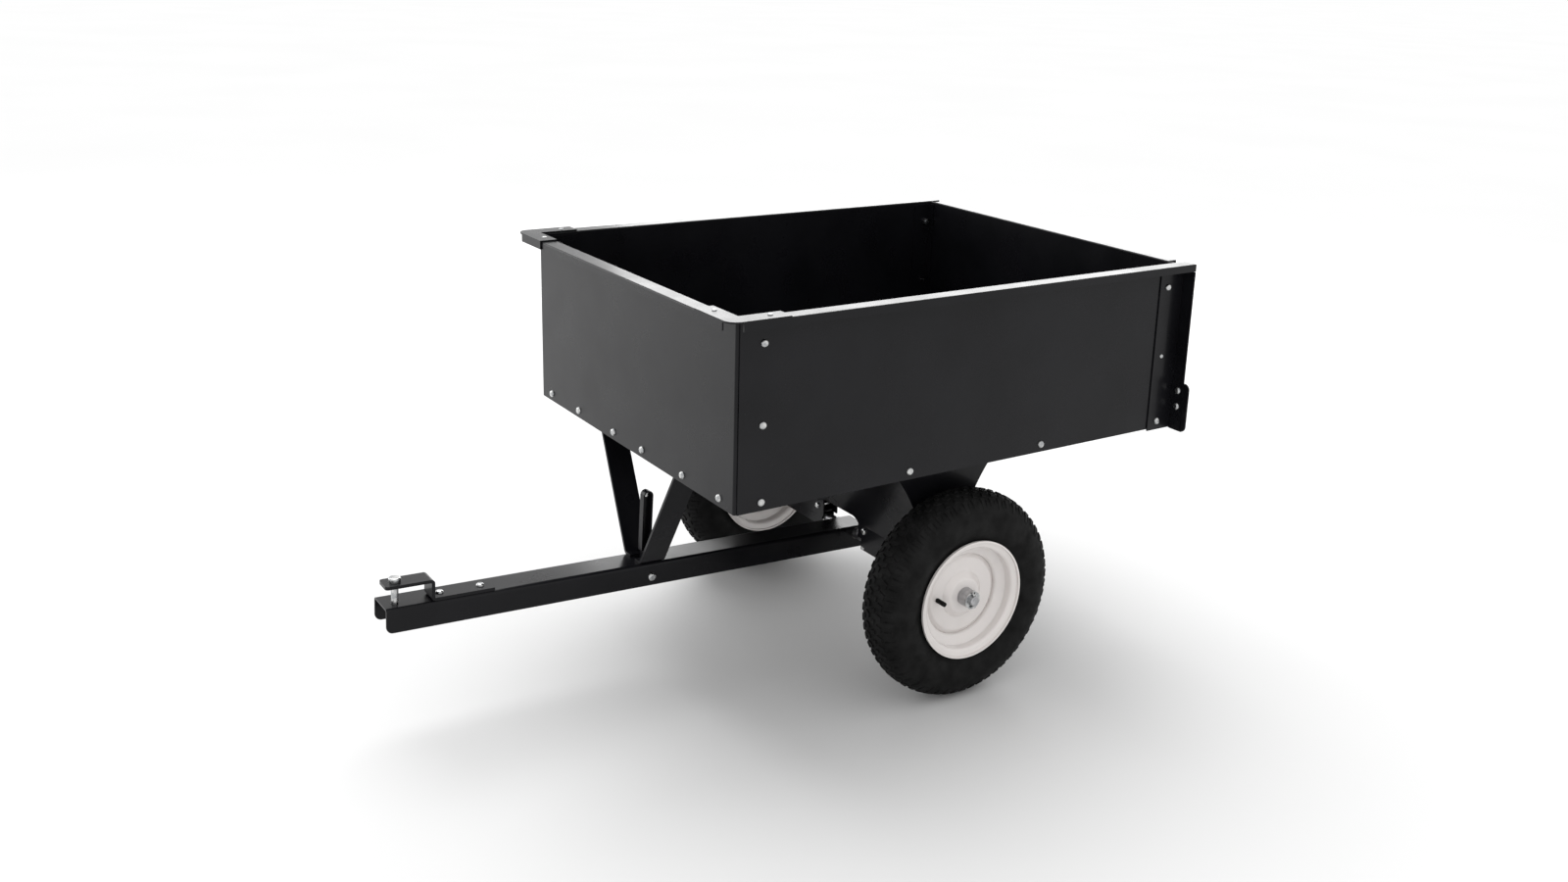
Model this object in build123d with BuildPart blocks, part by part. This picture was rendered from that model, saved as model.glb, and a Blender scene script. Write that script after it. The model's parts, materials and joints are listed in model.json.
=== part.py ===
"""Tow-behind steel dump cart for a garden tractor.

Frame: +X is the cart's left side when seen from the rear, -Y points to the towing
machine, +Z is up.  The origin is on the ground, under the middle of the outline.
"""
import os
from math import cos, radians, sin

from build123d import *

os.makedirs("parts", exist_ok=True)

# ---------------------------------------------------------------- driving sizes, mm
# tray
tray_length = 1000.0        # front face to the rear edge of the sides
tray_width = 760.0          # over the outer faces of the sides
tray_height = 330.0         # bottom edge to the top of the rim flange
tray_sheet = 2.0            # sheet thickness of the panels and the floor
rim_flange = 30.0           # outward flange round the top
rim_lip = 14.0              # downward lip at the flange's edge
floor_flange = 30.0         # upturned edge of the floor
return_flange = 75.0        # front panel's flange behind each side
bend_radius = 5.0           # outside radius of the upright front corners
cap_leg = 80.0              # leg of a front corner cap, past the tray's corner
cap_sheet = 3.0             # corner cap thickness
cap_corner = 22.0           # outer corner radius of a corner cap

# tailgate and rear posts
tailgate_inset = 27.0       # tailgate's front face to the rear edge of the sides
tailgate_sheet = 2.0
tailgate_handle = 24.0      # rearward flange along the tailgate's top
slot_clearance = 1.0        # tailgate to its guides, each side
guide_sheet = 2.0
guide_depth = 16.0          # how far a guide reaches over the tailgate
guide_leg = 44.0            # guide's leg along the side panel
post_sheet = 2.5
post_leg = 62.0             # post's leg along the side panel
stop_height = 98.0          # lower stop plate at the foot of each post
stop_drop = 6.0             # stop plate below the tray's bottom edge
stop_width = 42.0
stop_sheet = 3.0

# wheels and axle
wheel_diameter = 400.0
tyre_width = 100.0
tyre_wall = 9.0
rim_diameter = 230.0        # over the rim's flanges
bead_diameter = 203.0
rim_width = 95.0
rim_sheet = 3.0
well_diameter = 164.0       # drop centre of the rim
dish_offset = 12.0          # wheel disc, outboard of the rim's middle
wheel_track = 709.0         # between the tyres' middle planes
axle_diameter = 19.0
axle_drop = 255.0           # tray's bottom edge above the axle's centre
hub_diameter = 34.0
hub_length = 90.0
hub_fit = 0.06              # radial running clearance of the wheel bearings
bearing_length = 14.0
bearing_diameter = 28.0
washer_diameter = 34.0
washer_sheet = 2.5
cotter_diameter = 4.0
valve_length = 34.0
valve_diameter = 9.0

# axle support under the tray
support_sheet = 3.0
support_half_width = 300.0
support_foot = 36.0         # outside depth at the axle
leg_start = 36.0            # walls lean outward from this far above the axle
support_knee_height = 116.0     # flare starts this far below the tray
support_knee_depth = 120.0      # depth there
support_top_depth = 250.0       # depth at the tray
support_opening = 124.0     # passage for the tongue
support_opening_drop = 206.0    # passage's top below the tray
support_flange = 26.0
channel_inner_end = 70.0    # axle channels start this far from the middle
channel_height = 33.0
channel_sheet = 3.0
channel_drop = 240.0        # top of the axle channels below the tray

# tongue
tongue_width = 64.0
tongue_height = 44.0
tongue_sheet = 3.0
tongue_reach = 966.0        # axle to the front end
tongue_tail = 24.0          # past the axle
tongue_slope = 2.5          # degrees, front end up
tongue_over_axle = 14.0     # tongue's top above the axle's centre
tongue_corner = 6.0
bush_length = 10.0
bush_diameter = 32.0
dump_fit = 0.08             # radial running clearance of the tongue's bushes

# hitch
strap_width = 38.0
strap_sheet = 6.0
strap_offset = 11.0         # strap's middle line from the tongue's
strap_rise = 40.0           # top of the raised end above the tongue
strap_raised = 85.0         # length of the raised end
strap_foot = 107.0          # length along the tongue
hitch_pin_diameter = 12.7
hitch_pin_setback = 21.0    # pin behind the front end
pin_clearance = 0.3         # radial, hitch pin in its holes

# latch stand and lever
stand_width = 50.0
stand_sheet = 5.0
stand_setback = 8.0         # behind the front panel's face
stand_half_base = 31.0
stand_half_top = 154.0
stand_foot = 40.0
lever_width = 20.0
lever_depth = 14.0
lever_sheet = 2.5
lever_height = 133.0        # above the tongue
lever_below_top = 27.0      # pivot below the tongue's top
pivot_diameter = 9.6
pivot_fit = 0.1             # radial running clearance of the lever's pivot

# fasteners
bolt_diameter = 8.0
bolt_head = 14.0
bolt_head_height = 4.5
nut_width = 13.0
nut_height = 6.5
hole_clearance = 0.4        # radial
thread_clearance = 0.05     # radial, between a nut's bore and its bolt
bolt_tail = 2.0             # bolt's end past its nut
screw_diameter = 5.0
screw_head = 9.0
screw_head_height = 2.0

# ---------------------------------------------------------------- derived places
# Rear-most point: the nuts behind the stop plates.
rear_reach = tray_length / 2 + stop_sheet + nut_height + bolt_tail
nose_height = 12.0          # tongue's front end is cut back below this height
nose_drop = tongue_height - tongue_over_axle - nose_height
front_reach = tongue_reach * cos(radians(tongue_slope)) + nose_drop * sin(radians(tongue_slope))
axle_y = (front_reach - rear_reach) / 2
axle_z = wheel_diameter / 2
bed_bottom = axle_z + axle_drop
bed_top = bed_bottom + tray_height
bed_front = axle_y - tray_length / 2
bed_rear = axle_y + tray_length / 2
side_outer = tray_width / 2
side_inner = side_outer - tray_sheet
flange_outer = side_outer + rim_flange
wheel_x = wheel_track / 2
bolt_row = bed_bottom + 15.0
upper_rows = (147.0, 284.0)             # above the tray's bottom edge
front_column = 50.0                     # bolt line behind the front face
side_row = (50.0, 355.0, 660.0, 962.0)  # lower bolts behind the front face
front_row = (57.0, 206.0, 330.0)        # lower bolts each side of the middle

# Tongue frame: origin on the axle's centre, local Y runs back along the tongue.
tilt = radians(tongue_slope)
tongue_frame = Plane(origin=(0, axle_y, axle_z), x_dir=(1, 0, 0), z_dir=(0, sin(tilt), cos(tilt)))
tongue_top = tongue_over_axle
tongue_front = -tongue_reach
stand_mid = -(tray_length / 2 - stand_setback - stand_width / 2)
pin_y = tongue_front + hitch_pin_setback
pivot_z = tongue_top - lever_below_top
post_line = bed_front + side_row[-1] - 4.0
stop_rows = (44.0, 76.0)
cap_screw = 52.0                        # cap screws from the tray's corner
support_bolts = (90.0, 240.0)
tailgate_front = bed_rear - tailgate_inset
tailgate_back = tailgate_front + tailgate_sheet
guide_bottom = bed_bottom + floor_flange + 1.0
guide_top = bed_top - 6.0


# ---------------------------------------------------------------- helpers
def save(piece, label):
    """Label a finished piece and write its STEP file."""
    piece.label = label
    export_step(piece, f"parts/{label}.step")


def across(x):
    """Plane square to X at x: local X runs back along Y, local Y runs up."""
    return Plane(origin=(x, 0, 0), x_dir=(0, 1, 0), z_dir=(1, 0, 0))


def along(y):
    """Plane square to Y at y: local X runs along X, local Y runs up."""
    return Plane(origin=(0, y, 0), x_dir=(1, 0, 0), z_dir=(0, -1, 0))


def bent_sheet(plane, corners, sheet, width, radius=None, side=Side.LEFT):
    """Sheet bent along corners drawn on plane, width long, centred on the plane."""
    inner = radius if radius is not None else sheet * 1.2
    with BuildPart() as strip:
        with BuildSketch(plane):
            with BuildLine():
                FilletPolyline(*corners, radius=inner)
                offset(amount=sheet, side=side)
            make_face()
        extrude(amount=width / 2, both=True)
    return strip.part


def face_plane(point, direction):
    """Plane at point whose Z is the direction a bolt's head points to."""
    return Plane(origin=point, z_dir=direction)


def dome_bolt(seat, grip, shank=bolt_diameter, head=bolt_head, height=bolt_head_height):
    """Round-head bolt: head on the seat plane, shank going down through grip and a nut."""
    with BuildPart() as bolt:
        with BuildSketch(seat):
            Circle(head / 2)
        extrude(amount=height)
        crown_edges = bolt.edges().filter_by(GeomType.CIRCLE).sort_by(Axis(seat.origin, seat.z_dir))[-1:]
        fillet(crown_edges, radius=height * 0.9)
        with BuildSketch(seat):
            Circle(shank / 2)
        extrude(amount=-(grip + nut_height + bolt_tail))
    return bolt.part


def hex_nut(seat, grip, shank=bolt_diameter, width=nut_width, height=nut_height):
    """Nut under the grip of the bolt that sits on the seat plane."""
    with BuildPart() as nut:
        with BuildSketch(seat.offset(-grip)):
            RegularPolygon(width / 2, 6, major_radius=False)
            Circle(shank / 2 + thread_clearance, mode=Mode.SUBTRACT)
        extrude(amount=-height)
    return nut.part


def group(pieces, label):
    """Several separate solids that share one node."""
    bundle = Compound(children=list(pieces))
    save(bundle, label)


def drill(seats, depth, diameter=bolt_diameter):
    """Clearance holes cut in the part being built, through its sheet at each seat."""
    with Locations(*[seat.location for seat in seats]):
        Cylinder(diameter / 2 + hole_clearance, 2 * depth, mode=Mode.SUBTRACT)


# Places of the bolts: plane of the head's seat and what the bolt clamps.
front_seats = [
    face_plane((sign * x, bed_front, bolt_row), (0, -1, 0)) for x in front_row for sign in (-1, 1)
]


def side_seats(hand):
    """Bolts through one side: lower row and the front column."""
    seats = [face_plane((hand * side_outer, bed_front + y, bolt_row), (hand, 0, 0)) for y in side_row[:-1]]
    for row in upper_rows:
        place = (hand * side_outer, bed_front + front_column, bed_bottom + row)
        seats.append(face_plane(place, (hand, 0, 0)))
    return seats


def post_seats(hand):
    """Bolts through the post and the side: upper guide bolt and lower floor bolt."""
    x = hand * (side_outer + post_sheet)
    places = ((post_line, bed_bottom + upper_rows[1]), (bed_front + side_row[-1], bolt_row))
    return [face_plane((x, y, z), (hand, 0, 0)) for y, z in places]


def post_screw_seat(hand):
    """Small screw halfway up the post."""
    return face_plane((hand * (side_outer + post_sheet), post_line, bed_bottom + upper_rows[0]), (hand, 0, 0))


def stop_seats(hand):
    """Bolts through the post's outward flange and the stop plate."""
    x = hand * (side_outer + 18.0)
    return [face_plane((x, bed_rear - post_sheet, bed_bottom + z), (0, -1, 0)) for z in stop_rows]


def cap_seats(hand):
    """Screws that hold a corner cap to the two rim flanges."""
    middle = rim_flange / 2 - 3.0
    front = (hand * (side_outer - cap_screw), bed_front - middle, bed_top + cap_sheet)
    side = (hand * (side_outer + middle), bed_front + cap_screw, bed_top + cap_sheet)
    return [face_plane(place, (0, 0, 1)) for place in (front, side)]


def floor_seats():
    """Bolts from inside the tray through the floor into the axle support's flanges."""
    reach = support_top_depth / 2 + 15.0
    top = bed_bottom + tray_sheet
    return [
        face_plane((sign * x, axle_y + end * reach, top), (0, 0, 1))
        for x in support_bolts for sign in (-1, 1) for end in (-1, 1)
    ]


def stand_seats():
    """Bolts from inside the tray through the floor into the latch stand's feet."""
    y = bed_front + stand_setback + stand_width / 2
    top = bed_bottom + tray_sheet
    x = stand_half_top + stand_foot / 2 + 4.0
    return [face_plane((sign * x, y, top), (0, 0, 1)) for sign in (-1, 1)]


# ---------------------------------------------------------------- tray
with BuildPart() as bed_floor:
    side_profile = [
        (-side_inner, bed_bottom + floor_flange),
        (-side_inner, bed_bottom),
        (side_inner, bed_bottom),
        (side_inner, bed_bottom + floor_flange),
    ]
    floor_front = bed_front + 2 * tray_sheet + bend_radius
    floor_rear = bed_rear - 1.0
    add(bent_sheet(along((floor_front + floor_rear) / 2), side_profile, tray_sheet,
                   floor_rear - floor_front, side=Side.LEFT))
    front_profile = [
        (bed_front + tray_sheet, bed_bottom + floor_flange),
        (bed_front + tray_sheet, bed_bottom),
        (floor_front + 1.0, bed_bottom),
    ]
    add(bent_sheet(across(0), front_profile, tray_sheet, 2 * (side_inner - 3 * tray_sheet)))
    drill(front_seats + side_seats(1) + side_seats(-1), 5 * tray_sheet)
    drill(post_seats(1)[1:] + post_seats(-1)[1:] + floor_seats() + stand_seats(), 5 * tray_sheet)
save(bed_floor.part, "bed_floor")

with BuildPart() as front_panel:
    rim_profile = [
        (bed_front - rim_flange, bed_top - rim_lip),
        (bed_front - rim_flange, bed_top),
        (bed_front + tray_sheet, bed_top),
        (bed_front + tray_sheet, bed_bottom),
    ]
    half_flat = side_inner - bend_radius
    add(bent_sheet(across(0), rim_profile, tray_sheet, 2 * half_flat, side=Side.RIGHT))
    corner_height = tray_height - 3 * tray_sheet
    with BuildSketch(Plane.XY.offset(bed_bottom)):
        for hand in (-1, 1):
            with BuildLine():
                edge = hand * side_inner
                flat_end = Line((hand * (half_flat - 1), bed_front), (hand * half_flat, bed_front))
                corner = TangentArc(flat_end @ 1, (edge, bed_front + bend_radius), tangent=(hand, 0))
                wing_start = corner @ 1
                inner_start = (edge - hand * tray_sheet, bed_front + bend_radius)
                Line(wing_start, inner_start)
                inner_end = (hand * half_flat, bed_front + tray_sheet)
                inner_arc = TangentArc(inner_start, inner_end, tangent=(0, -1))
                close = Line(inner_arc @ 1, (hand * (half_flat - 1), bed_front + tray_sheet))
                Line(close @ 1, flat_end @ 0)
            make_face()
    extrude(amount=corner_height)
    with BuildSketch(Plane.XY.offset(bed_bottom + floor_flange + tray_sheet)):
        for hand in (-1, 1):
            with Locations((hand * (side_inner - tray_sheet / 2), bed_front + bend_radius + return_flange / 2 - 0.5)):
                Rectangle(tray_sheet, return_flange + 1)
    extrude(amount=corner_height - floor_flange - tray_sheet)
    drill(front_seats + side_seats(1) + side_seats(-1), 5 * tray_sheet)
    drill(cap_seats(1)[:1] + cap_seats(-1)[:1], 5 * tray_sheet, screw_diameter)
save(front_panel.part, "front_panel")

for hand, name in ((1, "side_panel_left"), (-1, "side_panel_right")):
    with BuildPart() as side_panel:
        side_front = bed_front + bend_radius
        profile = [
            (hand * flange_outer, bed_top - rim_lip),
            (hand * flange_outer, bed_top),
            (hand * side_inner, bed_top),
            (hand * side_inner, bed_bottom),
        ]
        length = bed_rear - side_front
        add(bent_sheet(along(side_front + length / 2), profile, tray_sheet, length,
                       side=Side.LEFT if hand > 0 else Side.RIGHT))
        drill(side_seats(hand) + post_seats(hand) + [post_screw_seat(hand)], 5 * tray_sheet)
        drill(cap_seats(hand)[1:], 5 * tray_sheet, screw_diameter)
    save(side_panel.part, name)

hands = ((1, "left"), (-1, "right"))

for hand, name in hands:
    with BuildPart() as corner_cap:
        overhang = flange_outer + cap_sheet
        outer_y = bed_front - rim_flange - cap_sheet
        with BuildSketch(Plane.XY.offset(bed_top)) as cap_plan:
            with Locations((hand * (side_outer - cap_leg), outer_y)):
                Rectangle(cap_leg + rim_flange + cap_sheet, bed_front + tray_sheet - outer_y,
                          align=(Align.MIN if hand > 0 else Align.MAX, Align.MIN))
            with Locations((hand * overhang, outer_y)):
                Rectangle(rim_flange + cap_sheet + tray_sheet, cap_leg + bed_front - outer_y,
                          align=(Align.MAX if hand > 0 else Align.MIN, Align.MIN))
            outer_corner = cap_plan.vertices().sort_by_distance((hand * overhang, outer_y, bed_top))[0]
            fillet(outer_corner, radius=cap_corner)
        extrude(amount=cap_sheet)
        lip_run = cap_leg + rim_flange - cap_corner
        with BuildSketch(Plane.XY.offset(bed_top)):
            with Locations((hand * (side_outer - cap_leg), outer_y)):
                Rectangle(lip_run, cap_sheet, align=(Align.MIN if hand > 0 else Align.MAX, Align.MIN))
            with Locations((hand * overhang, bed_front + cap_leg)):
                Rectangle(cap_sheet, lip_run, align=(Align.MAX if hand > 0 else Align.MIN, Align.MAX))
        extrude(amount=-rim_lip)
        drill(cap_seats(hand), 3 * cap_sheet, screw_diameter)
    save(corner_cap.part, f"corner_cap_{name}")

for hand, name in hands:
    post_top = bed_top - rim_lip - 1.0
    with BuildPart() as rear_post:
        profile = [
            (hand * side_outer, bed_rear - post_leg),
            (hand * side_outer, bed_rear),
            (hand * flange_outer, bed_rear),
        ]
        corner = post_sheet * 1.4
        with BuildSketch(Plane.XY.offset(bed_bottom - 3.0)):
            with BuildLine():
                leg = Line((hand * (side_outer + post_sheet), bed_rear - post_leg),
                           (hand * (side_outer + post_sheet), bed_rear - post_sheet))
                inner = Line(leg @ 1, (hand * flange_outer, bed_rear - post_sheet))
                tip = Line(inner @ 1, (hand * flange_outer, bed_rear))
                back = Line(tip @ 1, (hand * (side_outer + corner), bed_rear))
                turn = TangentArc(back @ 1, (hand * side_outer, bed_rear - corner), tangent=(-hand, 0))
                outer = Line(turn @ 1, (hand * side_outer, bed_rear - post_leg))
                Line(outer @ 1, leg @ 0)
            make_face()
        extrude(amount=post_top - bed_bottom + 3.0)
        drill(post_seats(hand) + [post_screw_seat(hand)] + stop_seats(hand), 4 * post_sheet)
    save(rear_post.part, f"rear_post_{name}")

    with BuildPart() as stop_plate:
        stop_middle = hand * (side_outer - 8.0 + (stop_width + 8.0) / 2)
        stop_centre = bed_bottom - stop_drop + stop_height / 2
        with BuildSketch(along(bed_rear)) as outline:
            with Locations((stop_middle, stop_centre)):
                Rectangle(stop_width + 8.0, stop_height)
            lower = outline.vertices().group_by(Axis.Z)[0]
            fillet(lower, radius=12.0)
        extrude(amount=-stop_sheet)
        drill(stop_seats(hand), 4 * post_sheet)
    save(stop_plate.part, f"stop_plate_{name}")

    with BuildPart() as front_guide:
        wall = tailgate_front - slot_clearance
        for corner_x, corner_y, size_x, size_y in (
            (side_inner - guide_sheet, wall - guide_leg, guide_sheet, guide_leg),
            (side_inner - guide_depth, wall - guide_sheet, guide_depth, guide_sheet),
        ):
            with BuildSketch(Plane.XY.offset(guide_bottom)):
                with Locations((hand * (corner_x + size_x / 2), corner_y + size_y / 2)):
                    Rectangle(size_x, size_y)
            extrude(amount=guide_top - guide_bottom)
        drill(post_seats(hand)[:1] + [post_screw_seat(hand)], 8 * post_sheet)
    save(front_guide.part, f"front_guide_{name}")

    with BuildPart() as rear_guide:
        wall = tailgate_back + slot_clearance
        leg_length = bed_rear - 1.0 - wall
        for corner_x, corner_y, size_x, size_y in (
            (side_inner - guide_sheet, wall, guide_sheet, leg_length),
            (side_inner - guide_depth, wall, guide_depth, guide_sheet),
        ):
            with BuildSketch(Plane.XY.offset(guide_bottom)):
                with Locations((hand * (corner_x + size_x / 2), corner_y + size_y / 2)):
                    Rectangle(size_x, size_y)
            extrude(amount=guide_top - guide_bottom)
    save(rear_guide.part, f"rear_guide_{name}")

# ---------------------------------------------------------------- tailgate
with BuildPart() as tailgate:
    gate_bottom = bed_bottom + tray_sheet + 0.5
    gate_top = bed_top
    gate_width = 2 * (side_inner - guide_sheet - slot_clearance)
    handle_end = tailgate_front + tailgate_handle
    gate_profile = [
        (tailgate_front, gate_bottom),
        (tailgate_front, gate_top),
        (handle_end, gate_top),
        (handle_end, gate_top - rim_lip),
    ]
    add(bent_sheet(across(0), gate_profile, tailgate_sheet, gate_width, side=Side.RIGHT))
    # The handle flange stops short of the rear guides.
    for hand in (-1, 1):
        notch_x = hand * (side_inner - guide_depth / 2)
        with Locations((notch_x, tailgate_back + tailgate_handle / 2, gate_top)):
            Box(guide_depth + 2.0, tailgate_handle, 4 * rim_lip, mode=Mode.SUBTRACT)
save(tailgate.part, "tailgate")

# ---------------------------------------------------------------- axle support
foot_half = support_foot / 2
foot_bottom = bed_bottom - channel_drop - 8.0
support_top = bed_bottom


def support_wall(end, width, label):
    """Front (end=-1) or rear (end=1) wall: upright foot, sloping leg, flare and top flange."""
    knee = (axle_y + end * (support_knee_depth / 2 - support_sheet), bed_bottom - support_knee_height)
    foot = (axle_y + end * (foot_half - support_sheet), axle_z + leg_start)
    lean = (knee[0] - foot[0], knee[1] - foot[1])
    flare_end = (axle_y + end * (support_top_depth / 2 - support_sheet), support_top - 10.0)
    flange_start = (flare_end[0] + end * 4.0, support_top)
    flange_end = (axle_y + end * (support_top_depth / 2 + support_flange), support_top)
    with BuildPart() as wall:
        with BuildSketch(across(0)):
            with BuildLine():
                Line((foot[0], foot_bottom), foot)
                Line(foot, knee)
                TangentArc(knee, flare_end, tangent=lean)
                Line(flare_end, flange_start)
                Line(flange_start, flange_end)
                offset(amount=support_sheet, side=Side.RIGHT if end > 0 else Side.LEFT)
            make_face()
        extrude(amount=width / 2, both=True)
        # Passage for the tongue, with rounded upper corners.
        top = bed_bottom - support_opening_drop
        with BuildSketch(along(axle_y)) as passage:
            with Locations((0, top)):
                Rectangle(support_opening, 2 * support_top_depth, align=(Align.CENTER, Align.MAX))
            fillet(passage.vertices().group_by(Axis.Z)[-1], radius=14.0)
        extrude(amount=support_top_depth, both=True, mode=Mode.SUBTRACT)
        drill(cross_seats(), 2 * support_foot)
        drill(floor_seats(), 4 * support_sheet)
    save(wall.part, label)


def cross_seats():
    """Bolts through both walls, above the axle channels."""
    z = bed_bottom - channel_drop + 10.0
    return [face_plane((sign * 83.0, axle_y - foot_half, z), (0, -1, 0)) for sign in (-1, 1)]


support_wall(-1, 2 * support_half_width, "axle_support_front")
support_wall(1, 2 * support_half_width, "axle_support_rear")

for hand, name in hands:
    with BuildPart() as gusset:
        # End plate between the two walls: it follows their inner faces down to the axle.
        inset = support_sheet + 0.2
        knee_half = support_knee_depth / 2 - inset
        top_half = support_top_depth / 2 - inset
        foot_y = foot_half - inset
        knee_z = bed_bottom - support_knee_height
        foot_z = axle_z + leg_start
        rise = knee_z - foot_z
        with BuildSketch(across(hand * (support_half_width - support_sheet / 2))):
            with BuildLine():
                for end in (-1, 1):
                    lean = (end * (knee_half - foot_y), rise)
                    Line((axle_y + end * foot_y, axle_z), (axle_y + end * foot_y, foot_z))
                    Line((axle_y + end * foot_y, foot_z), (axle_y + end * knee_half, knee_z))
                    flare = TangentArc((axle_y + end * knee_half, knee_z),
                                       (axle_y + end * top_half, support_top - 10.0), tangent=lean)
                    Line(flare @ 1, (axle_y + end * top_half, support_top))
                Line((axle_y - top_half, support_top), (axle_y + top_half, support_top))
                ThreePointArc((axle_y - foot_y, axle_z), (axle_y, axle_z - foot_y), (axle_y + foot_y, axle_z))
            make_face()
            with Locations((axle_y, axle_z)):
                Circle(axle_diameter / 2 + dump_fit, mode=Mode.SUBTRACT)
        extrude(amount=support_sheet / 2, both=True)
    save(gusset.part, f"axle_gusset_{name}")

channel_width = support_foot - 2 * support_sheet
channel_top = bed_bottom - channel_drop
channel_outer_end = support_half_width - support_sheet
channel_length = channel_outer_end - channel_inner_end
channel_middle = (channel_outer_end + channel_inner_end) / 2
block_length = 20.0
block_setback = 20.0
pinch_z = channel_top - channel_height + 4.5
pinch_seats = {
    hand: face_plane((hand * (channel_inner_end + 8.0), axle_y - channel_width / 2, pinch_z), (0, -1, 0))
    for hand in (1, -1)
}

for hand, name in hands:
    with BuildPart() as channel:
        profile = [
            (axle_y - channel_width / 2, channel_top - channel_height),
            (axle_y - channel_width / 2, channel_top),
            (axle_y + channel_width / 2, channel_top),
            (axle_y + channel_width / 2, channel_top - channel_height),
        ]
        section = across(hand * channel_middle)
        add(bent_sheet(section, profile, channel_sheet, channel_length, side=Side.RIGHT))
        drill([pinch_seats[hand]], 2 * channel_width, screw_diameter)
    save(channel.part, f"axle_channel_{name}")

with BuildPart() as axle_blocks:
    block_width = channel_width - 2 * channel_sheet
    for hand in (-1, 1):
        for x in (channel_inner_end + block_setback + block_length / 2,
                  channel_outer_end - block_length / 2 - 1.0):
            with BuildSketch(across(hand * x)):
                with Locations((axle_y, (channel_top - channel_sheet + axle_z - 11.5) / 2)):
                    block_height = channel_top - channel_sheet - axle_z + 11.5
                    RectangleRounded(block_width, block_height, 1.2)
                with Locations((axle_y, axle_z)):
                    Circle(axle_diameter / 2 + dump_fit, mode=Mode.SUBTRACT)
            extrude(amount=block_length / 2, both=True)
save(axle_blocks.part, "axle_blocks")

# ---------------------------------------------------------------- axle and wheels
washer_inner = wheel_x + hub_length / 2 + 0.5
washer_outer = washer_inner + washer_sheet
cotter_x = washer_outer + cotter_diameter / 2 + 0.3
axle_end = cotter_x + cotter_diameter / 2 + 3.0

with BuildPart() as axle_rod:
    with BuildSketch(across(0)):
        with Locations((axle_y, axle_z)):
            Circle(axle_diameter / 2)
    extrude(amount=axle_end, both=True)
    chamfer(axle_rod.edges().group_by(Axis.X)[0] + axle_rod.edges().group_by(Axis.X)[-1], length=1.5)
    with Locations((cotter_x, axle_y, axle_z), (-cotter_x, axle_y, axle_z)):
        Cylinder(cotter_diameter / 2 + 0.2, 2 * axle_diameter, mode=Mode.SUBTRACT)
save(axle_rod.part, "axle_rod")

spacer_start = support_half_width + 0.4
spacer_end = wheel_x - hub_length / 2 - 0.5
with BuildPart() as axle_spacers:
    for hand in (-1, 1):
        with BuildSketch(across(hand * (spacer_start + spacer_end) / 2)):
            with Locations((axle_y, axle_z)):
                Circle(washer_diameter / 2 - 2.0)
                Circle(axle_diameter / 2 + thread_clearance, mode=Mode.SUBTRACT)
        extrude(amount=(spacer_end - spacer_start) / 2, both=True)
save(axle_spacers.part, "axle_spacers")

with BuildPart() as axle_washers:
    for hand in (-1, 1):
        with BuildSketch(across(hand * (washer_inner + washer_outer) / 2)):
            with Locations((axle_y, axle_z)):
                Circle(washer_diameter / 2)
                Circle(axle_diameter / 2 + thread_clearance, mode=Mode.SUBTRACT)
        extrude(amount=washer_sheet / 2, both=True)
save(axle_washers.part, "axle_washers")


def cotter(hand):
    """Split pin: shank through the axle, round eye above, bent leg below."""
    centre = Plane(origin=(hand * cotter_x, axle_y, axle_z), x_dir=(0, 1, 0), z_dir=(1, 0, 0))
    radius = cotter_diameter / 2 - 0.2
    reach = axle_diameter / 2
    with BuildPart() as pin:
        with BuildLine(centre) as route:
            Line((0, reach + 4.0), (0, -reach - 3.0))
        with BuildSketch(Plane(origin=route.line @ 0, z_dir=route.line % 0)):
            Circle(radius)
        sweep(path=route.line)
        with BuildSketch(centre):
            with Locations((0, reach + 6.5)):
                Circle(4.5)
                Circle(2.2, mode=Mode.SUBTRACT)
        extrude(amount=radius * 0.8, both=True)
        with BuildSketch(centre):
            with Locations((0, -reach - 3.0)):
                Rectangle(10.0, 2 * radius)
        extrude(amount=radius * 0.8, both=True)
    return pin.part


group([cotter(1), cotter(-1)], "cotter_pins")


def turned(hand, outline):
    """Ring turned about a wheel's axis from (distance outboard of its middle, radius) points."""
    plane = Plane(origin=(hand * wheel_x, axle_y, axle_z), x_dir=(hand, 0, 0), z_dir=(0, -hand, 0))
    with BuildPart() as ring:
        with BuildSketch(plane):
            with BuildLine():
                Polyline(*outline, close=True)
            make_face()
        revolve(axis=Axis((0, axle_y, axle_z), (1, 0, 0)))
    return ring.part


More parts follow.
